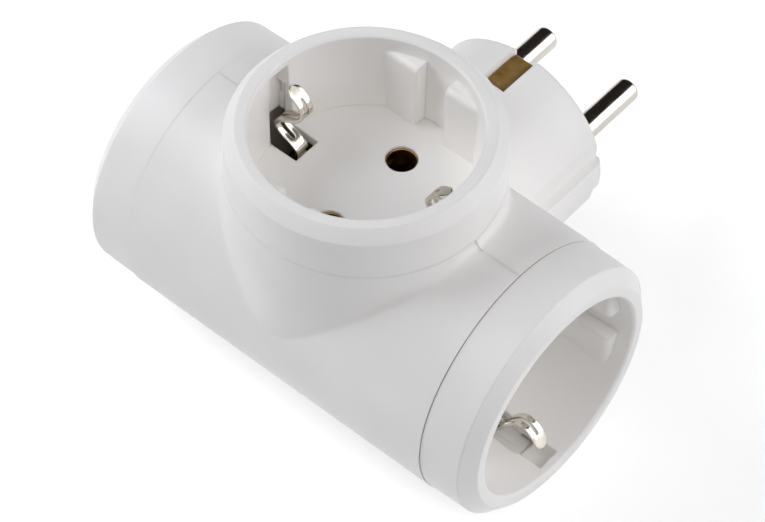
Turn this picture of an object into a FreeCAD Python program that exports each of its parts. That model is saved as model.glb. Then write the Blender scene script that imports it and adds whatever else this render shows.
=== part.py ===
# Multi socket adapter: a round-pin plug that feeds three recessed sockets.
# Millimetres, +Z up. The origin is the centre of the plug's face, between its two pins.
# The barrel with the two end sockets lies along X, the third socket opens along +Z and
# the pins point along +Y.

import FreeCAD
import Part
import Sketcher
import math
import os
import re

from FreeCAD import Rotation, Vector

os.makedirs("parts", exist_ok=True)
doc = FreeCAD.newDocument("SocketAdapter")

# Driving sizes. What follows from them is worked out below, from the recess outwards.
SIZES = (
    ("mouth_radius", 20.0, "recess radius at the mouth"),
    ("mouth_bevel", 0.4, "bevel of the mouth's edge"),
    ("recess_depth", 17.4, "rim to the socket's floor"),
    ("recess_taper", 0.5, "how much narrower the recess is at its floor"),
    ("cap_height", 10.5, "seam to rim of a cap"),
    ("cap_draft", 0.15, "how much narrower a cap is at its bevel"),
    ("rim_land", 2.25, "width of the flat ring round the mouth"),
    ("rim_bevel", 2.3, "depth of the bevel outside that ring"),
    ("floor_thickness", 2.0, "thickness of a socket's floor"),
    ("cup_wall", 1.3, "wall of the cup that hangs inside the shell"),
    ("skirt_wall", 2.1, "wall of a cap outside its groove"),
    ("groove_depth", 3.5, "depth of the groove that takes the shell's lip"),
    ("lip_clearance", 0.2, "play of a lip on both sides"),
    ("lip_end_play", 0.5, "end of a lip to the bottom of its groove"),
    ("lip_root", 4.0, "length of the thick ring behind an end lip"),
    ("end_lip_wall", 1.2, "thickness of the barrel's lips"),
    ("top_lip_wall", 0.55, "thickness of the collar's lip"),
    ("barrel_step", 0.2, "how far the barrel stands out past an end cap"),
    ("shell_wall", 2.4, "wall of the barrel"),
    ("collar_step", 0.05, "how far the collar stands out past the top cap"),
    ("collar_inset", 0.25, "how far the collar's foot stays inside the barrel's radius"),
    ("collar_rise", 1.7, "top of the barrel to the seam of the top cap"),
    ("shoulder_length", 9.05, "collar's foot to the seam of an end cap"),
    ("crease_round", 1.6, "hollow rounding between collar and barrel"),
    ("seam_gap", 0.14, "open line between an end cap and the barrel"),
    ("close_gap", 0.04, "closed line between the halves, and under the top cap"),
    ("overcut", 1.0, "how far a cutting tool stands out of what it cuts"),
    ("key_half_width", 3.1, "half width of the plug's side keys"),
    ("key_play", 0.1, "play of a key between two ribs"),
    ("rib_depth", 3.2, "how far a rib's flat stands in from the mouth's radius"),
    ("rib_root", 0.4, "how far a rib's back and far end run into the recess wall"),
    ("rib_drop", 3.0, "rim to the top of a rib"),
    ("rib_round", 1.2, "rounding along the top of a rib"),
    ("pin_pitch", 19.0, "distance between the pins and between the holes"),
    ("pin_radius", 2.4, "radius of a plug pin"),
    ("pin_length", 19.0, "plug face to pin tip"),
    ("pin_tip_round", 1.2, "rounding of a pin tip"),
    ("pin_step", 0.2, "how much wider a pin is where it sits in the plug's face"),
    ("pin_ledge", 1.15, "how much wider its collar is than that seat"),
    ("pin_collar_length", 1.5, "length of the collar"),
    ("shank_step", 0.4, "how much thinner a pin is inside its carrier"),
    ("tail_step", 0.5, "how much thinner again its tail is"),
    ("head_ledge", 0.8, "how much wider the rivet head is than the tail"),
    ("head_length", 0.7, "length of the rivet head"),
    ("hole_play", 0.5, "how much wider a socket's hole is than a pin, in radius"),
    ("strip_thickness", 0.6, "thickness of an earth clip's strip"),
    ("bend_radius", 0.8, "inner radius of the strip's bends"),
    ("clip_width", 5.4, "width of a clip's foot"),
    ("clip_play", 0.2, "play beside a clip's foot"),
    ("clip_gap", 0.1, "play between a clip and the floor it hangs under"),
    ("window_play", 1.0, "play inside of a clip's foot"),
    ("tongue_width", 3.0, "width of a clip's tongue"),
    ("slit_width", 0.7, "width of the slit in a tongue"),
    ("slit_end", 2.4, "clip tip to the end of its slit"),
    ("slot_margin", 0.9, "play beside the tongue in the earth slot"),
    ("slot_drop", 1.7, "rim to the top of the earth slot"),
    ("slot_bite", 1.0, "how far the earth slot runs past the cup's wall"),
    ("foot_inset", 5.3, "clip: mouth's radius to where it comes through the floor"),
    ("heel_inset", 0.8, "clip: mouth's radius to the outer end of the ramp"),
    ("heel_height", 2.4, "clip: height of the heel"),
    ("shoulder_inset", 0.4, "clip: mouth's radius to the outermost point"),
    ("shoulder_height", 4.6, "clip: height of the outermost point"),
    ("elbow_inset", 4.2, "clip: mouth's radius to the top of the sloping arm"),
    ("elbow_height", 7.2, "clip: height of that bend"),
    ("nose_inset", 6.0, "clip: mouth's radius to the innermost point"),
    ("nose_height", 9.6, "clip: height of the innermost point"),
    ("tip_inset", 4.4, "clip: mouth's radius to the free tip"),
    ("tip_height", 14.9, "clip: height of the tip"),
    ("plate_thickness", 0.8, "thickness of contact plates"),
    ("sleeve_play", 0.05, "play of a pin between the blades of a contact"),
    ("base_gap", 0.3, "pin to the base of its contact"),
    ("blade_overhang", 0.6, "how far the blades reach past a pin"),
    ("contact_length", 13.0, "length of a contact along its hole"),
    ("contact_gap", 1.0, "socket's floor to its contacts"),
    ("bus_margin", 0.25, "how much wider a busbar is than a contact, on each side"),
    ("tab_inset", 0.75, "how much narrower a tab is than the pin's collar, on each side"),
    ("tab_gap", 1.0, "pin carrier to the tab that passes under it"),
    ("holder_thickness", 1.6, "wall of a contact holder"),
    ("holder_margin", 1.5, "how far a holder stands out beside its busbar"),
    ("holder_inset", 2.0, "end of a busbar to the end of its holder"),
    ("stand_setback", 3.0, "end of a holder to its stand"),
    ("stand_thickness", 2.0, "thickness of a holder's stand"),
    ("stand_margin", 0.5, "how far a stand reaches past its busbar's edge"),
    ("stand_gap", 0.35, "stand to the barrel's inner wall"),
    ("carrier_length", 8.2, "pin carrier along the pins"),
    ("carrier_margin", 0.15, "pin's collar to the carrier's end"),
    ("carrier_wall", 1.25, "pin's collar to the carrier's upper and lower face"),
    ("plug_length", 18.7, "top of the barrel's curve to the plug's face"),
    ("plug_face_wall", 2.4, "thickness of the plug's face"),
    ("plug_play", 0.3, "corner of the pin carrier to the plug's inner wall"),
    ("plug_wall", 3.8, "wall of the plug at its face"),
    ("plug_draft", 0.3, "how much wider the plug is at the barrel"),
    ("face_bevel", 0.8, "bevel of the plug's front edge"),
    ("flat_depth", 1.8, "how deep the plug's side flats are cut"),
    ("flat_setback", 0.6, "barrel to the back end of the side flats"),
    ("notch_play", 0.3, "play beside the strap in its notch"),
    ("notch_depth", 2.4, "depth of an earth notch"),
    ("notch_length", 9.9, "length of a notch from the face"),
    ("strap_width", 4.4, "width of the earth strap"),
    ("strap_thickness", 0.8, "thickness of the earth strap"),
    ("strap_inset", 0.7, "plug face to the tip of the strap"),
    ("strap_gap", 0.3, "rivet heads to the strap"),
    ("fit_play", 0.1, "play of a piece in its seat"),
    ("link_gap", 1.2, "tab of a busbar to the earth link's bar"),
    ("link_height", 6.0, "height of the link's bar"),
    ("link_margin", 0.2, "how much narrower the link's flanges are than a clip, on each side"),
    ("link_tab_rise", 2.0, "lower edge of the bar to the link's tab"),
)

sheet = doc.addObject("Spreadsheet::Sheet", "Sizes")
for row, (word, number, meaning) in enumerate(SIZES, 1):
    sheet.set(f"A{row}", word)
    sheet.set(f"B{row}", str(number))
    sheet.set(f"C{row}", meaning)
    sheet.setAlias(f"B{row}", word)
doc.recompute()

WORDS = {word for word, number, meaning in SIZES}
TURN = {
    "x": Rotation(Vector(0, 1, 0), 90),
    "y": Rotation(Vector(1, 0, 0), -90),
    "z": Rotation(),
}
NEAR = 0.001
ROUGH = 10.0
POINT = {"start": 1, "end": 2}


# Small tools: each ties a feature's sizes to the sheet.

def sheet_word(word):
    return "Sizes." + word if word in WORDS else word


def formula(text):
    """Turns words of the sheet into an expression of the document."""
    return re.sub(r"[a-z]\w*", lambda found: sheet_word(found.group()), text)


def tie(item, **sizes):
    """Binds properties of an item; a double underscore stands for a dot."""
    for name, text in sizes.items():
        item.setExpression(name.replace("__", "."), formula(text))


def value(text):
    """What a formula comes to with the sizes of the sheet."""
    return float(sheet.evalExpression(formula(text)))


def place(item, x="0", y="0", z="0"):
    tie(item, Placement__Base__x=x, Placement__Base__y=y, Placement__Base__z=z)


def new_body(label):
    return doc.addObject("PartDesign::Body", label)


def draw(sketch, corners, closed=True):
    """Lines from corner to corner, on a rough circle until two bound distances place each corner."""
    count = len(corners)
    turns = [Rotation(Vector(0, 0, 1), 360 * k / count) for k in range(count)]
    rough = [turn.multVec(Vector(ROUGH, 0, 0)) for turn in turns]
    lines = count if closed else count - 1
    for k in range(lines):
        sketch.addGeometry(Part.LineSegment(rough[k], rough[(k + 1) % count]), False)
    for k in range(lines if closed else lines - 1):
        joined = (k, POINT["end"], (k + 1) % count, POINT["start"])
        sketch.addConstraint(Sketcher.Constraint("Coincident", *joined))
    for k, corner in enumerate(corners):
        line, end = (k, "start") if k < lines else (k - 1, "end")
        for kind, text in zip(("DistanceX", "DistanceY"), corner):
            number = sketch.addConstraint(Sketcher.Constraint(kind, -1, 1, line, POINT[end], 1.0))
            sketch.renameConstraint(number, f"{kind}{k}")
            tie(sketch, **{f"Constraints__{kind}{k}": text})
    return sketch


def outline(body, name, plane, corners):
    """A closed sketch on one of the body's own planes."""
    sketch = body.newObject("Sketcher::SketchObject", name)
    support = next(item for item in body.Origin.OriginFeatures if item.Role == plane)
    sketch.AttachmentSupport = (support, [""])
    sketch.MapMode = "FlatFace"
    return draw(sketch, corners)


def spin(body, name, plane, axis, corners, cut=False):
    """Revolves an outline, or cuts what it sweeps."""
    profile = outline(body, name + "_profile", plane, corners)
    turned = body.newObject("PartDesign::Groove" if cut else "PartDesign::Revolution", name)
    turned.Profile = profile
    turned.ReferenceAxis = (profile, [axis])
    turned.Angle = 360
    return turned


def block(body, name, x, y, z, cut=False):
    """A box between three pairs of planes."""
    box = body.newObject("PartDesign::SubtractiveBox" if cut else "PartDesign::AdditiveBox", name)
    tie(box, Length=f"({x[1]}) - ({x[0]})", Width=f"({y[1]}) - ({y[0]})", Height=f"({z[1]}) - ({z[0]})")
    place(box, x[0], y[0], z[0])
    return box


def rod(body, name, axis, radius, ends, centre=("0", "0", "0"), cut=False):
    """A cylinder along one axis between two planes."""
    kind = "PartDesign::SubtractiveCylinder" if cut else "PartDesign::AdditiveCylinder"
    cylinder = body.newObject(kind, name)
    cylinder.Placement.Rotation = TURN[axis]
    tie(cylinder, Radius=radius, Height=f"({ends[1]}) - ({ends[0]})")
    base = dict(zip("xyz", centre))
    base[axis] = ends[0]
    place(cylinder, base["x"], base["y"], base["z"])
    return cylinder


def band(centre, width):
    """The two planes of a band about a centre."""
    return (f"{centre} - ({width}) / 2", f"{centre} + ({width}) / 2")


def mirrored(low, high, sign):
    """A pair of planes, or its mirror image."""
    return (low, high) if sign > 0 else (f"-({high})", f"-({low})")


def dress(body, kind, name, size, radius, wanted):
    """A fillet or chamfer on the edges of the solid so far that are wanted."""
    doc.recompute()
    base = body.Tip
    names = [f"Edge{k}" for k, edge in enumerate(base.Shape.Edges, 1) if wanted(edge)]
    dressed = body.newObject("PartDesign::" + kind, name)
    dressed.Base = (base, names)
    tie(dressed, **{size: radius})
    return dressed


def is_ring(edge, radius, axis, height):
    """A circle of this radius about one axis, at this height along it."""
    if not isinstance(edge.Curve, Part.Circle):
        return False
    spot = edge.Curve.Center["xyz".index(axis)]
    return abs(edge.Curve.Radius - radius) < NEAR and abs(spot - height) < NEAR


# The shell's own sizes: cup, lips and caps from the recess outwards, then barrel and collar.

CUP = "(mouth_radius + cup_wall)"
LIP_IN = f"({CUP} + lip_clearance)"
END_LIP = f"({LIP_IN} + end_lip_wall)"
TOP_LIP = f"({LIP_IN} + top_lip_wall)"
END_CAP = f"({END_LIP} + lip_clearance + skirt_wall)"
TOP_CAP = f"({TOP_LIP} + lip_clearance + skirt_wall)"
LIP_LENGTH = "(groove_depth - lip_end_play)"
BARREL = f"({END_CAP} + barrel_step)"
BORE = f"({BARREL} - shell_wall)"
COLLAR_FOOT = f"({BARREL} - collar_inset)"
COLLAR_TOP = f"({TOP_CAP} + collar_step)"
END_SEAM = f"({COLLAR_FOOT} + shoulder_length)"
TOP_SEAM = f"({BARREL} + collar_rise)"
FACE = f"({BARREL} + plug_length)"


def seat(body, x="0", y=f"-{FACE}", z="0", turn=Rotation()):
    """Carries a body from the crossing of the three axes to the part's frame."""
    body.Placement.Rotation = turn
    place(body, x, y, z)
    return body


# Sockets. In a socket's own frame Z is its axis, the seam lies at Z = 0 and the pin holes on Y.

SOCKETS = {
    "left": {"x": f"-{END_SEAM}", "turn": Rotation(Vector(0, 1, 0), -90)},
    "right": {"x": END_SEAM, "turn": Rotation(Vector(0, 1, 0), 90)},
    "top": {"z": TOP_SEAM},
}
RIM = "cap_height"
FLOOR = f"({RIM} - recess_depth)"
UNDERSIDE = f"({FLOOR} - floor_thickness)"
HOLE = "(pin_pitch / 2)"

FLAT_IN = "(mouth_radius - rib_depth)"
RIB_START = "(key_half_width + key_play)"
RIB_END = f"(sqrt(mouth_radius ^ 2 - {FLAT_IN} ^ 2) + rib_root)"
FOOT = "(mouth_radius - foot_inset)"
WINDOW_IN = f"({FOOT} - strip_thickness / 2 - window_play)"
WINDOW_WIDTH = "(clip_width + 2 * clip_play)"
SLOT_OUT = f"({CUP} + slot_bite)"
SLOT_WIDTH = "(tongue_width + 2 * slot_margin)"


def socket_cap(label, radius, gap):
    body = new_body(label)
    spin(body, label + "_blank", "XZ_Plane", "V_Axis", (
        ("0", UNDERSIDE),
        (radius, UNDERSIDE),
        (radius, f"{gap} / 2"),
        (f"{radius} - cap_draft", f"{RIM} - rim_bevel"),
        ("mouth_radius + rim_land", RIM),
        ("mouth_radius + mouth_bevel", RIM),
        ("mouth_radius", f"{RIM} - mouth_bevel"),
        ("mouth_radius - recess_taper", FLOOR),
        ("0", FLOOR),
    ))
    for side in (1, -1):
        for pair in (1, -1):
            block(body, label + "_rib",
                  mirrored(RIB_START, RIB_END, side),
                  mirrored(FLAT_IN, "mouth_radius + rib_root", pair),
                  (FLOOR, f"{RIM} - rib_drop"))
    dress(body, "Fillet", label + "_rib_round", "Radius", "rib_round", is_rib_edge)
    spin(body, label + "_spigot", "XZ_Plane", "V_Axis", (
        (CUP, f"{UNDERSIDE} - overcut"),
        (f"{radius} + overcut", f"{UNDERSIDE} - overcut"),
        (f"{radius} + overcut", f"{gap} / 2"),
        (f"{radius} - skirt_wall", f"{gap} / 2"),
        (f"{radius} - skirt_wall", "groove_depth"),
        (CUP, "groove_depth"),
    ), cut=True)
    for side in (1, -1):
        block(body, label + "_earth_slot", mirrored(WINDOW_IN, SLOT_OUT, side), band("0", SLOT_WIDTH),
              ("groove_depth - overcut", f"{RIM} - slot_drop"), cut=True)
        block(body, label + "_earth_window", mirrored(WINDOW_IN, SLOT_OUT, side), band("0", WINDOW_WIDTH),
              (f"{UNDERSIDE} - overcut", "groove_depth"), cut=True)
        rod(body, label + "_pin_hole", "z", "pin_radius + hole_play",
            (f"{UNDERSIDE} - overcut", f"{FLOOR} + overcut"), ("0", f"{side} * {HOLE}", "0"), cut=True)
    return body


def is_rib_edge(edge):
    """The upper inner edge of a rib, which runs across the recess."""
    if not isinstance(edge.Curve, Part.Line):
        return False
    flat, top = value(FLAT_IN), value(f"{RIM} - rib_drop")
    return all(abs(abs(end.Y) - flat) < NEAR and abs(end.Z - top) < NEAR for end in edge.Vertexes)


seat(socket_cap("socket_cap_left", END_CAP, "seam_gap"), **SOCKETS["left"])
seat(socket_cap("socket_cap_right", END_CAP, "seam_gap"), **SOCKETS["right"])
seat(socket_cap("socket_cap_top", TOP_CAP, "close_gap"), **SOCKETS["top"])


# Housing halves. They meet in the plane Y = 0 of the crossing, and the caps' grooves hold their lips.

def housing_blank(body, label, side):
    """Barrel and collar with their lips, cut to one side of the parting plane."""
    seam = f"({END_SEAM} - seam_gap / 2)"
    lip = f"({END_SEAM} + {LIP_LENGTH})"
    top = f"({TOP_SEAM} - close_gap / 2)"
    spin(body, label + "_barrel", "XZ_Plane", "H_Axis", (
        (f"-{lip}", "0"),
        (lip, "0"),
        (lip, END_LIP),
        (seam, END_LIP),
        (seam, BARREL),
        (f"-{seam}", BARREL),
        (f"-{seam}", END_LIP),
        (f"-{lip}", END_LIP),
    ))
    spin(body, label + "_collar", "XZ_Plane", "V_Axis", (
        ("0", "0"),
        (COLLAR_FOOT, "0"),
        (COLLAR_TOP, top),
        (TOP_LIP, top),
        (TOP_LIP, f"{TOP_SEAM} + {LIP_LENGTH}"),
        ("0", f"{TOP_SEAM} + {LIP_LENGTH}"),
    ))
    far = f"({BARREL} + overcut)"
    block(body, label + "_parting", (f"-{far} - {END_SEAM}", f"{far} + {END_SEAM}"),
          mirrored(f"-{far}", "close_gap / 2", side), (f"-{far}", f"{far} + {TOP_SEAM}"), cut=True)


def is_crease(edge):
    """An edge where the collar meets the barrel: its middle lies on both of them."""
    if isinstance(edge.Curve, (Part.Line, Part.Circle)):
        return False
    spot = edge.valueAt((edge.FirstParameter + edge.LastParameter) / 2)
    climb = spot.z / value(f"{TOP_SEAM} - close_gap / 2")
    collar = value(COLLAR_FOOT) + climb * value(f"{COLLAR_TOP} - {COLLAR_FOOT}")
    on_barrel = abs(math.hypot(spot.y, spot.z) - value(BARREL)) < NEAR
    return on_barrel and abs(math.hypot(spot.x, spot.y) - collar) < NEAR


def housing_bore(body, label):
    """Rounds the crease, then cuts the hollow: a thick ring behind each lip, and room for the clips."""
    dress(body, "Fillet", label + "_crease", "Radius", "crease_round", is_crease)
    ring = f"({END_SEAM} - lip_root)"
    end = f"({END_SEAM} + {LIP_LENGTH} + overcut)"
    top = f"({TOP_SEAM} + {LIP_LENGTH} + overcut)"
    room = f"({SLOT_OUT} + lip_clearance)"
    spin(body, label + "_bore", "XZ_Plane", "H_Axis", (
        (f"-{end}", "0"),
        (end, "0"),
        (end, LIP_IN),
        (ring, LIP_IN),
        (ring, BORE),
        (f"-{ring}", BORE),
        (f"-{ring}", LIP_IN),
        (f"-{end}", LIP_IN),
    ), cut=True)
    rod(body, label + "_collar_bore", "z", LIP_IN, ("0", top), cut=True)
    block(body, label + "_end_clip_room", (f"-{end}", end), band("0", WINDOW_WIDTH),
          (f"-{room}", room), cut=True)
    block(body, label + "_top_clip_room", (f"-{room}", room), band("0", WINDOW_WIDTH), ("0", top), cut=True)


front = new_body("front_housing")
housing_blank(front, "front", -1)
housing_bore(front, "front")
seat(front)


# Plug: its bore is as wide as the corners of the pin carrier, and its wall stands round that.

PIN_SEAT = "(pin_radius + pin_step)"
PIN_COLLAR = f"({PIN_SEAT} + pin_ledge)"
SHANK = "(pin_radius - shank_step)"
TAIL = f"({SHANK} - tail_step)"
CARRIER_SIDE = f"({HOLE} + {PIN_COLLAR} + carrier_margin)"
CARRIER_TOP = f"({PIN_COLLAR} + carrier_wall)"
PLUG_BORE = f"(hypot({CARRIER_SIDE}; {CARRIER_TOP}) + plug_play)"
PLUG = f"({PLUG_BORE} + plug_wall)"
PLUG_FOOT = f"({PLUG} + plug_draft)"
NOTCH_FLOOR = f"({PLUG} - notch_depth)"
STRAP_OUT = f"({NOTCH_FLOOR} + fit_play + strap_thickness)"
FACE_BACK = f"({FACE} - plug_face_wall)"
COLLAR_BACK = f"({FACE_BACK} - pin_collar_length)"
CARRIER_BACK = f"({COLLAR_BACK} - carrier_length)"
TAB_BACK = f"({CARRIER_BACK} - plate_thickness)"
HEAD_BACK = f"({TAB_BACK} - head_length)"
STRAP_BACK = f"({HEAD_BACK} - strap_gap - strap_thickness)"
NOTCH_BACK = f"({FACE} - notch_length)"

rear = new_body("rear_housing")
housing_blank(rear, "rear", 1)
spin(rear, "plug", "YZ_Plane", "H_Axis", (
    (f"{BARREL} / 2", "0"),
    (FACE, "0"),
    (FACE, f"{PLUG} - face_bevel"),
    (f"{FACE} - face_bevel", PLUG),
    (f"{BARREL} / 2", PLUG_FOOT),
))
housing_bore(rear, "rear")
rod(rear, "plug_bore", "y", PLUG_BORE, ("0", FACE_BACK), cut=True)
for side in (1, -1):
    for level in (1, -1):
        block(rear, "side_flat", mirrored(f"{PLUG} - flat_depth", f"{PLUG_FOOT} + overcut", side),
              (f"{BARREL} + flat_setback", f"{FACE} + overcut"),
              mirrored("key_half_width", f"{PLUG_FOOT} + overcut", level), cut=True)
    block(rear, "notch", band("0", "strap_width + 2 * notch_play"), (NOTCH_BACK, f"{FACE} + overcut"),
          mirrored(NOTCH_FLOOR, f"{PLUG_FOOT} + overcut", side), cut=True)
    block(rear, "strap_passage", band("0", "strap_width + 2 * fit_play"),
          (f"{STRAP_BACK} - fit_play", NOTCH_BACK), mirrored("0", f"{STRAP_OUT} + fit_play", side), cut=True)
    rod(rear, "pin_bore", "y", f"{PIN_SEAT} + fit_play / 2", (f"{FACE_BACK} - overcut", f"{FACE} + overcut"),
        (f"{side} * {HOLE}", "0", "0"), cut=True)
seat(rear)


# Plug pins, turned in one piece: tip, seat in the face, collar behind it, shank, tail and rivet head.

def plug_pin(label, side):
    body = new_body(label)
    tip = f"({FACE} + pin_length)"
    spin(body, label + "_turned", "YZ_Plane", "H_Axis", (
        (HEAD_BACK, "0"),
        (tip, "0"),
        (tip, "pin_radius"),
        (FACE, "pin_radius"),
        (FACE, PIN_SEAT),
        (FACE_BACK, PIN_SEAT),
        (FACE_BACK, PIN_COLLAR),
        (COLLAR_BACK, PIN_COLLAR),
        (COLLAR_BACK, SHANK),
        (CARRIER_BACK, SHANK),
        (CARRIER_BACK, TAIL),
        (TAB_BACK, TAIL),
        (TAB_BACK, f"{TAIL} + head_ledge"),
        (HEAD_BACK, f"{TAIL} + head_ledge"),
    ))
    dress(body, "Fillet", label + "_tip", "Radius", "pin_tip_round",
          lambda edge: is_ring(edge, sheet.pin_radius, "y", value(tip)))
    return seat(body, x=f"{side} * {HOLE}")


plug_pin("plug_pin_left", -1)
plug_pin("plug_pin_right", 1)

carrier = new_body("pin_carrier")
block(carrier, "carrier_block", (f"-{CARRIER_SIDE}", CARRIER_SIDE), (CARRIER_BACK, COLLAR_BACK),
      (f"-{CARRIER_TOP}", CARRIER_TOP))
for side in (1, -1):
    rod(carrier, "carrier_bore", "y", f"{SHANK} + fit_play / 2",
        (f"{CARRIER_BACK} - overcut", f"{COLLAR_BACK} + overcut"), (f"{side} * {HOLE}", "0", "0"), cut=True)
seat(carrier)

strap = new_body("plug_earth_strap")
block(strap, "strap_bridge", band("0", "strap_width"), (STRAP_BACK, f"{STRAP_BACK} + strap_thickness"),
      (f"-{STRAP_OUT}", STRAP_OUT))
for side in (1, -1):
    block(strap, "strap_leg", band("0", "strap_width"), (STRAP_BACK, f"{FACE} - strap_inset"),
          mirrored(f"{STRAP_OUT} - strap_thickness", STRAP_OUT, side))
seat(strap)


# Earth clips, folded from strip: two springs joined by a bridge under the socket's floor. Their
# bends are given on the strip's middle line, in the socket's frame.

HANG = f"({UNDERSIDE} - clip_gap - strip_thickness / 2)"


def spring(side):
    """Corners of one spring from its foot to its tip, seen along Y."""
    bends = ("heel", "shoulder", "elbow", "nose", "tip")
    foot = [(f"{side} * {FOOT}", HANG), (f"{side} * {FOOT}", FLOOR)]
    return foot + [(f"{side} * (mouth_radius - {bend}_inset)", f"{FLOOR} + {bend}_height") for bend in bends]


def bend_test(corners, inner):
    """Finds the edges across the strip on the hollow side of its bends, or on the other side."""
    spots = [Vector(value(x), 0, value(z)) for x, z in corners]

    def wanted(edge):
        ends = [end.Point for end in edge.Vertexes]
        if len(ends) < 2 or abs(abs(ends[0].y - ends[1].y) - sheet.clip_width) > NEAR:
            return False
        spot = Vector(ends[0].x, 0, ends[0].z)
        for before, bend, after in zip(spots, spots[1:], spots[2:]):
            if spot.distanceToPoint(bend) < sheet.strip_thickness:
                middle = (before + after) / 2
                return (spot.distanceToPoint(middle) < bend.distanceToPoint(middle)) == inner
        return False

    return wanted


def earth_clip(label):
    corners = spring(-1)[::-1] + spring(1)
    path = doc.addObject("Sketcher::SketchObject", label + "_path")
    path.Placement.Rotation = Rotation(Vector(1, 0, 0), 90)
    draw(path, corners, closed=False)
    strip = doc.addObject("Part::Offset2D", label + "_strip")
    strip.Source = path
    strip.Fill = True
    strip.Join = "Intersection"
    tie(strip, Value="strip_thickness / 2")
    metal = doc.addObject("Part::Extrusion", label + "_metal")
    metal.Base = strip
    metal.DirMode = "Custom"
    metal.Dir = Vector(0, 1, 0)
    metal.Symmetric = True
    tie(metal, LengthFwd="clip_width")
    body = new_body(label)
    body.BaseFeature = metal
    dress(body, "Fillet", label + "_inner_bends", "Radius", "bend_radius", bend_test(corners, True))
    dress(body, "Fillet", label + "_outer_bends", "Radius", "bend_radius + strip_thickness",
          bend_test(corners, False))
    for side in (1, -1):
        reach = mirrored("mouth_radius / 2", SLOT_OUT, side)
        for edge in (1, -1):
            block(body, label + "_narrowing", reach, mirrored("tongue_width / 2", "clip_width", edge),
                  (f"{FLOOR} + shoulder_height", f"{FLOOR} + tip_height + overcut"), cut=True)
        block(body, label + "_slit", reach, band("0", "slit_width"),
              (f"{FLOOR} + heel_height", f"{FLOOR} + tip_height - slit_end"), cut=True)
    return body


for name, spot in SOCKETS.items():
    seat(earth_clip(f"earth_clip_{name}"), **spot)


# Line and neutral sides: contacts behind the pin holes, a busbar that joins them and leads to
# the pin, and a moulded holder that carries both. The sign is the side of the parting plane.

SLEEVE = "(pin_radius + sleeve_play + plate_thickness)"
BASE_IN = f"({HOLE} + pin_radius + base_gap)"
BASE_OUT = f"({BASE_IN} + plate_thickness)"
BUS_OUT = f"({BASE_OUT} + plate_thickness)"
CONTACT_TOP = f"({UNDERSIDE} - contact_gap)"
END_TIP = f"({END_SEAM} + {CONTACT_TOP})"
TOP_TIP = f"({TOP_SEAM} + {CONTACT_TOP})"
BUS = f"({SLEEVE} + bus_margin)"
TAB = f"({PIN_COLLAR} - tab_inset)"
TAB_DROP = f"({CARRIER_TOP} + tab_gap + plate_thickness)"


def contact(label, side):
    """A channel along a hole's axis: a base away from the middle and two blades beside the pin."""
    body = new_body(label)
    along = (f"{CONTACT_TOP} - contact_length", CONTACT_TOP)
    block(body, label + "_base", (f"-{SLEEVE}", SLEEVE), mirrored(BASE_IN, BASE_OUT, side), along)
    for edge in (1, -1):
        block(body, label + "_blade", mirrored(f"{SLEEVE} - plate_thickness", SLEEVE, edge),
              mirrored(f"{HOLE} - pin_radius - blade_overhang", BASE_OUT, side), along)
    return body


def busbar(label, side):
    """A T of plate on the contacts' bases, with a tab that runs under the carrier to the plug pin."""
    body = new_body(label)
    plate = mirrored(BASE_OUT, BUS_OUT, side)
    width = (f"-{BUS}", BUS)
    block(body, label + "_bar", (f"-{END_TIP}", END_TIP), plate, width)
    block(body, label + "_leg", width, plate, ("0", TOP_TIP))
    tab = band(f"{side} * {HOLE}", f"2 * {TAB}")
    block(body, label + "_drop", tab, plate, (f"-{TAB_DROP}", "0"))
    block(body, label + "_tab", tab, (plate[0], CARRIER_BACK),
          (f"-{TAB_DROP}", f"plate_thickness - {TAB_DROP}"))
    block(body, label + "_lug", tab, (TAB_BACK, CARRIER_BACK), (f"-{TAB_DROP}", TAB))
    rod(body, label + "_lug_hole", "y", f"{TAIL} + fit_play / 2",
        (f"{TAB_BACK} - overcut", f"{CARRIER_BACK} + overcut"), (f"{side} * {HOLE}", "0", "0"), cut=True)
    return body


def holder(label, side):
    """A T of moulding behind the busbar, on stands that reach the barrel's inner wall."""
    body = new_body(label)
    plate = mirrored(BUS_OUT, f"{BUS_OUT} + holder_thickness", side)
    beside = f"({BUS} + holder_margin)"
    end = f"({END_TIP} - holder_inset)"
    block(body, label + "_bar", (f"-{end}", end), plate, (f"-{BUS}", beside))
    block(body, label + "_leg", (f"-{beside}", beside), plate, ("0", f"{TOP_TIP} - holder_inset"))
    stand_top = f"({BUS} + stand_margin)"
    stand_out = f"(sqrt({BORE} ^ 2 - {stand_top} ^ 2) - stand_gap)"
    for way in (1, -1):
        block(body, label + "_stand",
              mirrored(f"{end} - stand_setback - stand_thickness", f"{end} - stand_setback", way),
              mirrored(BUS_OUT, stand_out, side), (f"-{BUS}", stand_top))
    return body


for pole, side in (("line", 1), ("neutral", -1)):
    for name, spot in SOCKETS.items():
        seat(contact(f"{pole}_contact_{name}", side), **spot)
    seat(busbar(f"{pole}_busbar", side))
    seat(holder(f"{pole}_holder", side))


# Earth link: one plate in the parting plane that joins the three clips and the plug's strap.

END_BRIDGE = f"({END_SEAM} + {HANG} - strip_thickness / 2)"
TOP_BRIDGE = f"({TOP_SEAM} + {HANG} - strip_thickness / 2)"
LINK_HIGH = f"({TAB_DROP} + link_gap)"
LINK_LOW = f"({LINK_HIGH} + link_height)"
LINK_TAB = f"({LINK_LOW} - link_tab_rise)"
FLANGE = "(clip_width / 2 - link_margin)"

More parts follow.
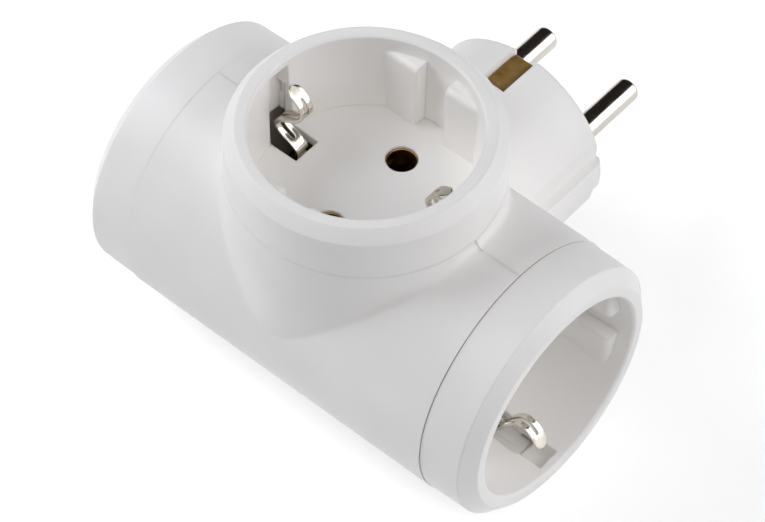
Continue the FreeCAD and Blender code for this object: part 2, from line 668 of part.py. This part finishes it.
link = new_body("earth_link")
middle = band("0", "plate_thickness")
across = (f"-{FLANGE}", FLANGE)
block(link, "link_bar", (f"-{END_BRIDGE}", END_BRIDGE), middle, (f"-{LINK_LOW}", f"-{LINK_HIGH}"))
block(link, "link_riser", across, middle, (f"-{LINK_LOW}", TOP_BRIDGE))
block(link, "link_top_flange", across, across, (f"{TOP_BRIDGE} - plate_thickness", TOP_BRIDGE))
for side in (1, -1):
    block(link, "link_end_flange", mirrored(f"{END_BRIDGE} - plate_thickness", END_BRIDGE, side),
          across, (f"-{LINK_LOW}", f"-{LINK_HIGH}"))
block(link, "link_tab", band("0", "strap_width"), ("0", STRAP_BACK),
      (f"-{LINK_TAB}", f"plate_thickness - {LINK_TAB}"))
block(link, "link_tab_foot", band("0", "strap_width"), (f"{STRAP_BACK} - plate_thickness", STRAP_BACK),
      (f"-{LINK_TAB}", f"-{LINK_TAB} / 2"))
seat(link)


# Checks and files.

NODES = (
    "front_housing", "rear_housing", "socket_cap_left", "socket_cap_right", "socket_cap_top",
    "plug_pin_left", "plug_pin_right", "pin_carrier", "plug_earth_strap",
    "earth_clip_left", "earth_clip_right", "earth_clip_top", "earth_link",
    "line_contact_left", "line_contact_right", "line_contact_top", "line_busbar", "line_holder",
    "neutral_contact_left", "neutral_contact_right", "neutral_contact_top",
    "neutral_busbar", "neutral_holder",
)

doc.recompute()
for item in doc.Objects:
    if {"Invalid", "Error"} & set(item.State):
        raise RuntimeError(f"{item.Label} failed: {item.State}")
for node in NODES:
    shape = doc.getObject(node).Shape
    if shape.isNull() or not shape.isValid():
        raise RuntimeError(f"{node} has no valid shape")
for node in NODES:
    shape = doc.getObject(node).Shape
    shape.exportStep(f"parts/{node}.step")
    print(node, "volume", round(shape.Volume, 1), "solids", len(shape.Solids))
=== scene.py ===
import math

import bmesh
import bpy
from mathutils import Matrix, Vector


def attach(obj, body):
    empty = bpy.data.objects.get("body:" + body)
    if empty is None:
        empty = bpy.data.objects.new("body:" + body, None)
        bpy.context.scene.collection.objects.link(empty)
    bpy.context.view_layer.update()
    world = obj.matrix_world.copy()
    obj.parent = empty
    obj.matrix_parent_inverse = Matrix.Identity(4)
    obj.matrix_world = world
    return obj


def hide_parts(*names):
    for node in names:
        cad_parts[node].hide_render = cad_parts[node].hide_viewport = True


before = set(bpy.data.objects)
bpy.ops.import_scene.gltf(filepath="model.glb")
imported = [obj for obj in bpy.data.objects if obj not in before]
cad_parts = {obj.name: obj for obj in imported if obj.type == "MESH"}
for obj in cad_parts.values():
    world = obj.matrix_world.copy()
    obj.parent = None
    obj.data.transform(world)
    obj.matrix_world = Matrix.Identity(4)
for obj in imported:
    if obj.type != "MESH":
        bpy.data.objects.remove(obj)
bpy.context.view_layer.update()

# Lengths are in millimetres unless a comment says otherwise, and MM turns them into metres.

MM = 0.001
PLUG_REACH = 43.9
CROSSING = Vector((0.0, -PLUG_REACH * MM, 0.0))
END_SEAM = 34.0
TOP_SEAM = 26.9


def at(x, y, z):
    """The point this far from the crossing of the barrel's, the collar's and the plug's axes."""
    return CROSSING + Vector((x, y, z)) * MM


# The camera, fitted to the photograph. Its distance is in metres.

IMAGE_WIDTH = 765
IMAGE_HEIGHT = 522
CAMERA_AZIMUTH = math.radians(40.03)
CAMERA_ELEVATION = math.radians(51.79)
CAMERA_ROLL = math.radians(-1.03)
CAMERA_DISTANCE = 0.6667
PIXELS_PER_MM = 5.695
CROSSING_PIXEL = (364.82, 263.17)
SENSOR = 36.0
CLIP_NEAR = 0.01
CLIP_FAR = 10.0


def make_camera():
    """Looks at the crossing from above the front right."""
    level_right = Vector((math.cos(CAMERA_AZIMUTH), math.sin(CAMERA_AZIMUTH), 0.0))
    level = math.cos(CAMERA_ELEVATION)
    ahead = Vector((-math.sin(CAMERA_AZIMUTH) * level, math.cos(CAMERA_AZIMUTH) * level,
                    -math.sin(CAMERA_ELEVATION)))
    level_down = ahead.cross(level_right)
    right = math.cos(CAMERA_ROLL) * level_right + math.sin(CAMERA_ROLL) * level_down
    down = math.cos(CAMERA_ROLL) * level_down - math.sin(CAMERA_ROLL) * level_right
    aside = (IMAGE_WIDTH / 2 - CROSSING_PIXEL[0]) / PIXELS_PER_MM * MM
    lower = (IMAGE_HEIGHT / 2 - CROSSING_PIXEL[1]) / PIXELS_PER_MM * MM
    spot = CROSSING - ahead * CAMERA_DISTANCE + right * aside + down * lower
    data = bpy.data.cameras.new("photo_camera")
    data.sensor_width = SENSOR
    data.lens = SENSOR * PIXELS_PER_MM * CAMERA_DISTANCE / MM / IMAGE_WIDTH
    data.clip_start = CLIP_NEAR
    data.clip_end = CLIP_FAR
    camera = bpy.data.objects.new("photo_camera", data)
    turn = Matrix((right, -down, -ahead)).transposed()
    camera.matrix_world = Matrix.Translation(spot) @ turn.to_4x4()
    bpy.context.scene.collection.objects.link(camera)
    bpy.context.scene.camera = camera


make_camera()


# Materials.

def linear(code):
    """A colour written as sRGB hex, in linear light."""
    parts = [int(code[k:k + 2], 16) / 255 for k in (1, 3, 5)]
    light = [part / 12.92 if part <= 0.04045 else ((part + 0.055) / 1.055) ** 2.4 for part in parts]
    return (*light, 1.0)


def node(tree, kind, settings=(), **links):
    """Adds a node with its settings. Each link names an input, or numbers it as in i0, and gives it
    a value or another node's output."""
    made = tree.nodes.new(kind)
    for name, value in dict(settings).items():
        setattr(made, name, value)
    for name, value in links.items():
        number = name[1:]
        socket = made.inputs[int(number)] if number.isdigit() else made.inputs[name.replace("_", " ")]
        if isinstance(value, bpy.types.NodeSocket):
            tree.links.new(value, socket)
        else:
            socket.default_value = value
    return made


def new_material(name):
    material = bpy.data.materials.new(name)
    material.use_nodes = True
    material.node_tree.nodes.clear()
    return material, material.node_tree


def dress(names, material):
    for name in names:
        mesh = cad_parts[name].data
        mesh.materials.clear()
        mesh.materials.append(material)


def per_mm(size):
    """The scale of a texture whose features are this many millimetres wide."""
    return 1.0 / (size * MM)


MIX_COLOUR = {"data_type": "RGBA"}
FEW_SAMPLES = {"samples": 4}
LARGER = {"operation": "MAXIMUM"}
IS_NEAR = {"operation": "COMPARE"}
SIZE_ONLY = {"operation": "ABSOLUTE"}

# Edges look rounded by this much, but not within this distance of a seam, where that would widen it.
MOULD_EDGE = 0.5
SEAM_ZONE = 0.7


def moulded_abs(name, light, shade, painted_hollow_tone):
    """White ABS, injection moulded in a fine-eroded tool: satin, with soft broad highlights that run
    along rounded edges, a faintly wandering tone over thick and thin walls, and a painted tone in its
    hollows: painted light where that tone is lighter than the skin, painted shade where it is darker."""
    material, tree = new_material(name)
    spot = node(tree, "ShaderNodeTexCoord").outputs["Object"]
    flow = node(tree, "ShaderNodeTexNoise", Vector=spot, Scale=per_mm(14.0), Detail=1.0).outputs["Fac"]
    tone = node(tree, "ShaderNodeMapRange", i0=flow, i1=0.35, i2=0.65, i3=0.0, i4=1.0).outputs["Result"]
    skin = node(tree, "ShaderNodeMix", MIX_COLOUR, i0=tone, i6=linear(shade), i7=linear(light)).outputs[2]
    # Painted light in the white mouldings and painted shade in the joint's ring: where AO finds walls near,
    # the colour turns to the painted hollow tone.
    open_sky = node(tree, "ShaderNodeAmbientOcclusion", FEW_SAMPLES, Distance=16.0 * MM).outputs["AO"]
    colour = node(tree, "ShaderNodeMix", MIX_COLOUR, i0=open_sky, i6=linear(painted_hollow_tone), i7=skin).outputs[2]
    erosion = node(tree, "ShaderNodeTexNoise", Vector=spot, Scale=per_mm(0.22), Detail=2.0).outputs["Fac"]
    place = node(tree, "ShaderNodeSeparateXYZ", Vector=spot).outputs
    side = node(tree, "ShaderNodeMath", SIZE_ONLY, i0=place["X"]).outputs[0]
    end_seam, top_seam, parting = [
        node(tree, "ShaderNodeMath", IS_NEAR, i0=where, i1=seam, i2=SEAM_ZONE * MM).outputs[0]
        for where, seam in ((side, END_SEAM * MM), (place["Z"], TOP_SEAM * MM), (place["Y"], CROSSING.y))]
    cap_seams = node(tree, "ShaderNodeMath", LARGER, i0=end_seam, i1=top_seam).outputs[0]
    seams = node(tree, "ShaderNodeMath", LARGER, i0=cap_seams, i1=parting).outputs[0]
    radius = node(tree, "ShaderNodeMapRange", i0=seams, i1=0.0, i2=1.0,
                  i3=MOULD_EDGE * MM, i4=0.0).outputs["Result"]
    edge = node(tree, "ShaderNodeBevel", FEW_SAMPLES, Radius=radius).outputs["Normal"]
    relief = node(tree, "ShaderNodeBump", Height=erosion, Distance=0.012 * MM, Normal=edge).outputs["Normal"]
    rub = node(tree, "ShaderNodeTexNoise", Vector=spot, Scale=per_mm(5.0), Detail=3.0).outputs["Fac"]
    satin = node(tree, "ShaderNodeMapRange", i0=rub, i1=0.3, i2=0.7, i3=0.38, i4=0.47).outputs["Result"]
    shader = node(tree, "ShaderNodeBsdfPrincipled", Base_Color=colour, Roughness=satin, IOR=1.53,
                  Subsurface_Weight=0.3, Subsurface_Radius=(1.0, 0.95, 0.9), Subsurface_Scale=1.2 * MM,
                  Normal=relief)
    node(tree, "ShaderNodeOutputMaterial", Surface=shader.outputs["BSDF"])
    return material


def turned_nickel(name):
    """Nickel plate over a turned brass pin: a mirror that is broken by fine rings round the pin, with
    hazy patches where it has slid into sockets."""
    material, tree = new_material(name)
    spot = node(tree, "ShaderNodeTexCoord").outputs["Object"]
    rings = node(tree, "ShaderNodeTexWave", {"bands_direction": "Y"}, Vector=spot, Scale=per_mm(0.3) / 20.0,
                 Distortion=0.6, Detail=1.0).outputs["Fac"]
    along = node(tree, "ShaderNodeMapping", Vector=spot, Scale=(1.0, 0.3, 1.0)).outputs["Vector"]
    haze = node(tree, "ShaderNodeTexNoise", Vector=along, Scale=per_mm(1.6)).outputs["Fac"]
    plate = node(tree, "ShaderNodeMix", MIX_COLOUR, i0=haze,
                 i6=linear("#BDB8B0"), i7=linear("#D8D4CD")).outputs[2]
    gloss = node(tree, "ShaderNodeMapRange", i0=haze, i1=0.3, i2=0.7, i3=0.10, i4=0.20).outputs["Result"]
    relief = node(tree, "ShaderNodeBump", Height=rings, Distance=0.003 * MM).outputs["Normal"]
    shader = node(tree, "ShaderNodeBsdfPrincipled", Base_Color=plate, Metallic=1.0, Roughness=gloss,
                  Normal=relief)
    node(tree, "ShaderNodeOutputMaterial", Surface=shader.outputs["BSDF"])
    return material


def plated_strip(name):
    """Nickel plated spring strip: rolled bright, with faint lines along the strip and softer patches
    where it was bent."""
    material, tree = new_material(name)
    spot = node(tree, "ShaderNodeTexCoord").outputs["Object"]
    along = node(tree, "ShaderNodeMapping", Vector=spot, Scale=(1.0, 5.0, 1.0)).outputs["Vector"]
    lines = node(tree, "ShaderNodeTexNoise", Vector=along, Scale=per_mm(1.2), Detail=2.0).outputs["Fac"]
    patches = node(tree, "ShaderNodeTexNoise", Vector=spot, Scale=per_mm(2.5)).outputs["Fac"]
    plate = node(tree, "ShaderNodeMix", MIX_COLOUR, i0=patches,
                 i6=linear("#CFC8BD"), i7=linear("#EAE5DC")).outputs[2]
    gloss = node(tree, "ShaderNodeMapRange", i0=patches, i1=0.3, i2=0.7, i3=0.10, i4=0.20).outputs["Result"]
    edge = node(tree, "ShaderNodeBevel", FEW_SAMPLES, Radius=0.12 * MM).outputs["Normal"]
    relief = node(tree, "ShaderNodeBump", Height=lines, Distance=0.006 * MM, Normal=edge).outputs["Normal"]
    shader = node(tree, "ShaderNodeBsdfPrincipled", Base_Color=plate, Metallic=1.0, Roughness=gloss,
                  Normal=relief)
    node(tree, "ShaderNodeOutputMaterial", Surface=shader.outputs["BSDF"])
    return material


def stamped_brass(name, bright, tarnish, low, high):
    """Bare brass cut from sheet: warm, browned in patches where air and hands have reached it, and
    painted dark in corners and near walls: painted shade, which also darkens the strap beside its notch."""
    material, tree = new_material(name)
    spot = node(tree, "ShaderNodeTexCoord").outputs["Object"]
    cloud = node(tree, "ShaderNodeTexNoise", Vector=spot, Scale=per_mm(3.0), Detail=4.0).outputs["Fac"]
    stain = node(tree, "ShaderNodeMapRange", i0=cloud, i1=0.3, i2=0.7, i3=0.0, i4=1.0).outputs["Result"]
    sheet = node(tree, "ShaderNodeMix", MIX_COLOUR, i0=stain,
                 i6=linear(bright), i7=linear(tarnish)).outputs[2]
    # Painted shade: the colour turns to a near black brown where AO finds walls within reach.
    corner_shade = node(tree, "ShaderNodeAmbientOcclusion", FEW_SAMPLES, Distance=2.2 * MM).outputs["AO"]
    metal = node(tree, "ShaderNodeMix", MIX_COLOUR, i0=corner_shade, i6=linear("#3A2A12"), i7=sheet).outputs[2]
    gloss = node(tree, "ShaderNodeMapRange", i0=cloud, i1=0.3, i2=0.7, i3=low, i4=high).outputs["Result"]
    relief = node(tree, "ShaderNodeBump", Height=cloud, Distance=0.01 * MM).outputs["Normal"]
    shader = node(tree, "ShaderNodeBsdfPrincipled", Base_Color=metal, Metallic=1.0, Roughness=gloss,
                  Normal=relief)
    node(tree, "ShaderNodeOutputMaterial", Surface=shader.outputs["BSDF"])
    return material


def filled_polyamide(name):
    """Glass-filled polyamide for the parts that hold the contacts: dull, a little yellow, with a
    coarse skin in which the filling shows as specks."""
    material, tree = new_material(name)
    spot = node(tree, "ShaderNodeTexCoord").outputs["Object"]
    cloud = node(tree, "ShaderNodeTexNoise", Vector=spot, Scale=per_mm(6.0)).outputs["Fac"]
    skin = node(tree, "ShaderNodeTexNoise", Vector=spot, Scale=per_mm(0.5)).outputs["Fac"]
    colour = node(tree, "ShaderNodeMix", MIX_COLOUR, i0=cloud,
                  i6=linear("#B9B4A6"), i7=linear("#CAC6BA")).outputs[2]
    dull = node(tree, "ShaderNodeMapRange", i0=skin, i1=0.3, i2=0.7, i3=0.5, i4=0.62).outputs["Result"]
    relief = node(tree, "ShaderNodeBump", Height=skin, Distance=0.02 * MM).outputs["Normal"]
    shader = node(tree, "ShaderNodeBsdfPrincipled", Base_Color=colour, Roughness=dull, IOR=1.53,
                  Normal=relief)
    node(tree, "ShaderNodeOutputMaterial", Surface=shader.outputs["BSDF"])
    return material


CLIP_METAL = plated_strip("nickel_plated_spring_strip")
INNER_BRASS = [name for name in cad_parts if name.endswith("_busbar") or "_contact_" in name]
INNER_BRASS += ["earth_link"]

# The last colour of each white moulding is painted light in its hollows, lighter and warmer than the skin.
SHELL = moulded_abs("white_abs_shell_moulding", "#F4F2F1", "#F1EFED", "#FFFCF7")
dress(["front_housing", "rear_housing"], SHELL)
dress(["socket_cap_left", "socket_cap_right", "socket_cap_top"],
      moulded_abs("white_abs_cap_moulding", "#F5F3F2", "#F2F0EE", "#FFFCF7"))
dress(["plug_pin_left", "plug_pin_right"], turned_nickel("nickel_plated_turned_pin"))
dress(["plug_earth_strap"], stamped_brass("tarnished_brass_strap", "#C6A468", "#8E6E3A", 0.5, 0.62))
BRASS = stamped_brass("stamped_brass_contact", "#B8935A", "#8C6834", 0.26, 0.38)
dress(INNER_BRASS, BRASS)
dress(["pin_carrier", "line_holder", "neutral_holder"], filled_polyamide("filled_polyamide_holder"))


# Making pieces.

def new_piece(name, mesh, material):
    """Turns the faces outwards and makes one object of the mesh."""
    bmesh.ops.recalc_face_normals(mesh, faces=mesh.faces)
    data = bpy.data.meshes.new(name)
    mesh.to_mesh(data)
    mesh.free()
    data.materials.append(material)
    piece = bpy.data.objects.new(name, data)
    bpy.context.scene.collection.objects.link(piece)
    return piece


def add_ring(mesh, outline, turns, place):
    """Turns a closed outline round an axis. Each pair of the outline gives a radius and a level, and
    place turns two distances from the axis and the level into a point."""
    angles = [math.tau * k / turns for k in range(turns)]
    rings = [[mesh.verts.new(place(radius * math.cos(angle), radius * math.sin(angle), level))
              for angle in angles] for radius, level in outline]
    for ring, after in zip(rings, rings[1:] + rings[:1]):
        for k in range(turns):
            beside = (k + 1) % turns
            mesh.faces.new((ring[k], ring[beside], after[beside], after[k]))


def flat_ring(radii, level, half):
    """The outline of a flat ring: its inner and outer radius, its level and half its thickness."""
    inner, outer = radii
    return (inner, level - half), (outer, level - half), (outer, level + half), (inner, level + half)


# Earth clips: the folded strip with its soft bends, round tip and open slit. It has one width from its
# foot to its tip. Each pair gives the distance from the socket's axis and the height above its floor.

CLIP_LINE = ((0.0, -2.4), (13.6, -2.4), (14.7, -2.4), (14.7, -1.2), (14.7, 0.4), (19.3, 2.5), (19.8, 4.9),
             (15.4, 7.2), (13.1, 9.8), (14.0, 12.4), (17.1, 14.3))
STRIP_THICKNESS = 0.6
STRIP_HALF = 1.4
SLIT_HALF = 0.35
ROW = 0.35
TIP_ROWS = 10
TUMBLED_EDGE = 0.1

# Where the slit starts, along the strip from the middle of its foot, and how far short of the tip it
# ends.
SLIT_START = 18.8
SLIT_END_BACK = 2.6

# How much further out than the others a clip's tip stands: this one was pressed outwards in use.
CLIP_LEAN = {("top", 1): 1.6}

SOCKET_FLOOR = {"left": -27.1, "right": 27.1, "top": 20.0}


def soft_line(corners, rounds=4):
    """Cuts the corners of a line again and again, so that it bends like sprung strip."""
    line = [Vector(corner) for corner in corners]
    for _ in range(rounds):
        cut = [line[0]]
        for before, after in zip(line, line[1:]):
            cut += [before.lerp(after, 0.25), before.lerp(after, 0.75)]
        line = cut + [line[-1]]
    return line


def walk(line, length):
    """The point at a length along a line."""
    for before, after in zip(line, line[1:]):
        step = (after - before).length
        if step > 0.0 and length <= step:
            return before.lerp(after, length / step)
        length -= step
    return line[-1]


def half_width(length, whole):
    """Half the strip's width: even, with a round tip."""
    past = max(length - (whole - STRIP_HALF), 0.0)
    return math.sqrt(max(STRIP_HALF ** 2 - past ** 2, 0.0))


def slit_half(length, whole):
    """Half the slit's width, with round ends."""
    inside = min(length - SLIT_START, whole - SLIT_END_BACK - length)
    if inside <= 0.0:
        return 0.0
    return SLIT_HALF * math.sqrt(1.0 - max(1.0 - inside / SLIT_HALF, 0.0) ** 2)


def in_socket(name, out, across, height):
    """A point of a socket: out from its axis, across the clips, and above its floor."""
    level = SOCKET_FLOOR[name]
    if name == "top":
        return at(out, across, level + height)
    if name == "right":
        return at(level + height, across, -out)
    return at(level - height, across, out)


def make_clip(name):
    line = soft_line(CLIP_LINE)
    whole = sum((after - before).length for before, after in zip(line, line[1:]))
    rows = [ROW * k for k in range(int((whole - STRIP_HALF) / ROW) + 1)]
    rows += [whole - STRIP_HALF * (1.0 - math.sin(math.pi / 2 * k / TIP_ROWS))
             for k in range(1, TIP_ROWS + 1)]
    mesh = bmesh.new()
    for side in (1, -1):
        grid = []
        for length in rows:
            out, height = walk(line, length)
            out += CLIP_LEAN.get((name, side), 0.0) * max(height, 0.0) / CLIP_LINE[-1][1]
            half = half_width(length, whole)
            slit = min(slit_half(length, whole), half)
            columns = (-half, -(half + slit) / 2, -slit, slit, (half + slit) / 2, half)
            grid.append([mesh.verts.new(in_socket(name, side * out, across, height)) for across in columns])
        for lower, upper in zip(grid, grid[1:]):
            for k in (0, 1, 3, 4):
                mesh.faces.new((lower[k], lower[k + 1], upper[k + 1], upper[k]))
    bmesh.ops.remove_doubles(mesh, verts=mesh.verts, dist=0.001 * MM)
    clip = new_piece(f"sprung_clip_{name}", mesh, CLIP_METAL)
    clip.data.shade_smooth()
    thick = clip.modifiers.new("strip_thickness", "SOLIDIFY")
    thick.thickness = STRIP_THICKNESS * MM
    thick.offset = 0.0
    burr = clip.modifiers.new("tumbled_edges", "BEVEL")
    burr.width = TUMBLED_EDGE * MM
    burr.segments = 2
    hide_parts(f"earth_clip_{name}")
    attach(clip, "root")


for socket_name in SOCKET_FLOOR:
    make_clip(socket_name)


# Brass liners just inside the pin holes, which show as a warm ring in the dark of each hole. Each
# pair gives the radius and the height above the socket's floor.

LINER = ((2.85, -0.45), (2.85, -4.6), (2.6, -4.6), (2.6, -0.6), (2.7, -0.45))
PIN_PITCH = 19.0
TURNS = 48


def make_liners(name):
    mesh = bmesh.new()
    for hole in (-PIN_PITCH / 2, PIN_PITCH / 2):
        add_ring(mesh, LINER, TURNS, lambda out, across, height: in_socket(name, out, hole + across, height))
    liners = new_piece(f"hole_liners_{name}", mesh, BRASS)
    liners.data.shade_smooth()
    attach(liners, "root")


for socket_name in SOCKET_FLOOR:
    make_liners(socket_name)


# A brown ring in the open joint between an end cap and the barrel, which draws the joint as a thin brown
# line: painted shade in the gap, together with dust.

JOINT_RING_RADII = (24.0, 24.97)
JOINT_RING_HALF = 0.05


def make_joint_shade():
    mesh = bmesh.new()
    for side in (-1, 1):
        add_ring(mesh, flat_ring(JOINT_RING_RADII, side * END_SEAM, JOINT_RING_HALF), 2 * TURNS,
                 lambda out, across, level: at(level, out, across))
    # Painted shade: the ring's brown, darker still in its hollows, stands for the shade in the gap as well as
    # dust.
    shade_and_dust_ring = new_piece("joint_shade_and_dust", mesh, moulded_abs("joint_shade_and_dust_colour", "#A88C72", "#9A7E64", "#8A6E54"))
    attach(shade_and_dust_ring, "root")


make_joint_shade()


# Weld beads: the plastic that squeezed into the closed joints, between the halves and under the top
# cap, so that they hardly show. Each pair gives the distance from the crossing along X and along Z.

BEAD_HALF = 0.0195
CORNER_BEAD = ((33.8, 23.2), (33.8, 25.19), (26.35, 25.19), (25.15, 25.6), (24.8, 26.4), (24.7, 26.85),
               (23.0, 26.85), (23.0, 23.2))
BELLY_BEAD = ((-33.8, -23.2), (-33.8, -25.19), (33.8, -25.19), (33.8, -23.2))
TOP_BEAD_RADII = (23.2, 24.34)


def make_beads():
    mesh = bmesh.new()
    for outline in (CORNER_BEAD, [(-x, z) for x, z in CORNER_BEAD], BELLY_BEAD):
        front, back = [[mesh.verts.new(at(x, y, z)) for x, z in outline] for y in (-BEAD_HALF, BEAD_HALF)]
        mesh.faces.new(front)
        mesh.faces.new(back)
        for k in range(len(outline)):
            after = (k + 1) % len(outline)
            mesh.faces.new((front[k], front[after], back[after], back[k]))
    add_ring(mesh, flat_ring(TOP_BEAD_RADII, TOP_SEAM, BEAD_HALF), 2 * TURNS, at)
    beads = new_piece("weld_beads", mesh, SHELL)
    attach(beads, "root")


make_beads()


# Studio: a white floor and room, soft boxes on both sides and overhead, and a black card. From here
# on, spots and sizes are in metres. Each box has its name, its spot from the crossing, its size, its
# power in watts and its colour.

FLOOR_LEVEL = -25.25 * MM
FLOOR_SIZE = (6.0, 6.0)
FLOOR_GLOW = 0.43
GLOW_START = 0.05
GLOW_END = 1.2
ROOM_LIGHT = 0.12
CARD_SPOT = (-0.3, 0.5, 0.58)
CARD_SIZE = (1.5, 1.35)
BOXES = (
    ("window_left", (-0.42, -0.2, 0.4), 0.35, 2.2, "#F9FBFF"),
    ("box_right", (0.75, 0.1, 0.6), 0.8, 2.7, "#FCFDFF"),
    ("box_behind_right", (0.65, 0.65, 0.4), 0.8, 3.5, "#FCFCFF"),
    ("box_above_front", (0.15, -0.45, 0.85), 0.9, 1.3, "#FCFCFF"),
)


def flat_sheet(name, size, level, material):
    half_x, half_y = size[0] / 2, size[1] / 2
    mesh = bpy.data.meshes.new(name)
    mesh.from_pydata([(-half_x, -half_y, level), (half_x, -half_y, level),
                      (half_x, half_y, level), (-half_x, half_y, level)], [], [(0, 1, 2, 3)])
    mesh.materials.append(material)
    sheet = bpy.data.objects.new(name, mesh)
    bpy.context.scene.collection.objects.link(sheet)
    return sheet


def as_background(tree):
    """One for what the camera sees, bare, in metal or through glass, and nought for light that falls
    on the object."""
    path = node(tree, "ShaderNodeLightPath").outputs
    seen = node(tree, "ShaderNodeMath", LARGER, i0=path["Is Camera Ray"], i1=path["Is Glossy Ray"])
    return node(tree, "ShaderNodeMath", LARGER, i0=seen.outputs[0], i1=path["Is Transmission Ray"]).outputs[0]


def paper_sweep(name):
    """White paper: dull and even. It takes the object's shadow, and its own white grows with the
    distance, so that the shadow fades out into a white background."""
    material, tree = new_material(name)
    paper = node(tree, "ShaderNodeBsdfDiffuse", Color=linear("#F4F4F4")).outputs[0]
    spot = node(tree, "ShaderNodeTexCoord").outputs["Object"]
    reach = node(tree, "ShaderNodeVectorMath", {"operation": "LENGTH"}, i0=spot).outputs["Value"]
    rise = node(tree, "ShaderNodeMapRange", {"interpolation_type": "SMOOTHSTEP"}, i0=reach,
                i1=GLOW_START, i2=GLOW_END, i3=FLOOR_GLOW, i4=1.0).outputs["Result"]
    glow = node(tree, "ShaderNodeEmission", Color=linear("#FFFFFF"), Strength=rise).outputs[0]
    lit = node(tree, "ShaderNodeAddShader", i0=paper, i1=glow).outputs[0]
    mix = node(tree, "ShaderNodeMixShader", i0=as_background(tree), i1=paper, i2=lit)
    node(tree, "ShaderNodeOutputMaterial", Surface=mix.outputs[0])
    return material


def black_velvet(name):
    """Black velvet on a card: no highlight and no pattern, only a near black. Its faint even light
    stands for the little that velvet gives back."""
    material, tree = new_material(name)
    velvet = node(tree, "ShaderNodeEmission", Color=linear("#2A2725"), Strength=1.0).outputs[0]
    node(tree, "ShaderNodeOutputMaterial", Surface=velvet)
    return material


def make_floor():
    flat_sheet("floor", FLOOR_SIZE, FLOOR_LEVEL, paper_sweep("white_paper_sweep"))


def make_world():
    """The room: dim light on the object, and white behind it."""
    world = bpy.data.worlds.new("studio")
    world.use_nodes = True
    tree = world.node_tree
    tree.nodes.clear()
    room = node(tree, "ShaderNodeBackground", Color=linear("#FFFEFD"), Strength=ROOM_LIGHT).outputs[0]
    white = node(tree, "ShaderNodeBackground", Color=linear("#FFFFFF"), Strength=1.0).outputs[0]
    mix = node(tree, "ShaderNodeMixShader", i0=as_background(tree), i1=room, i2=white)
    node(tree, "ShaderNodeOutputWorld", Surface=mix.outputs[0])
    bpy.context.scene.world = world


def make_card():
    """The card stands over the plug and gives bright metal its dark band. Only reflections see it."""
    card = flat_sheet("black_card", CARD_SIZE, 0.0, black_velvet("black_velvet_card"))
    card.location = CROSSING + Vector(CARD_SPOT)
    card.rotation_mode = "QUATERNION"
    card.rotation_quaternion = Vector(CARD_SPOT).to_track_quat("Z", "Y")
    card.visible_camera = False
    card.visible_diffuse = False
    card.visible_transmission = False
    card.visible_shadow = False


def make_box(name, spot, size, power, colour):
    """A square soft box that faces the crossing."""
    data = bpy.data.lights.new(name, "AREA")
    data.size = size
    data.energy = power
    data.color = linear(colour)[:3]
    lamp = bpy.data.objects.new(name, data)
    lamp.location = CROSSING + Vector(spot)
    lamp.rotation_mode = "QUATERNION"
    lamp.rotation_quaternion = (-Vector(spot)).to_track_quat("-Z", "Y")
    bpy.context.scene.collection.objects.link(lamp)


make_floor()
make_world()
make_card()
for box in BOXES:
    make_box(*box)

bpy.context.scene.view_settings.view_transform = "Standard"
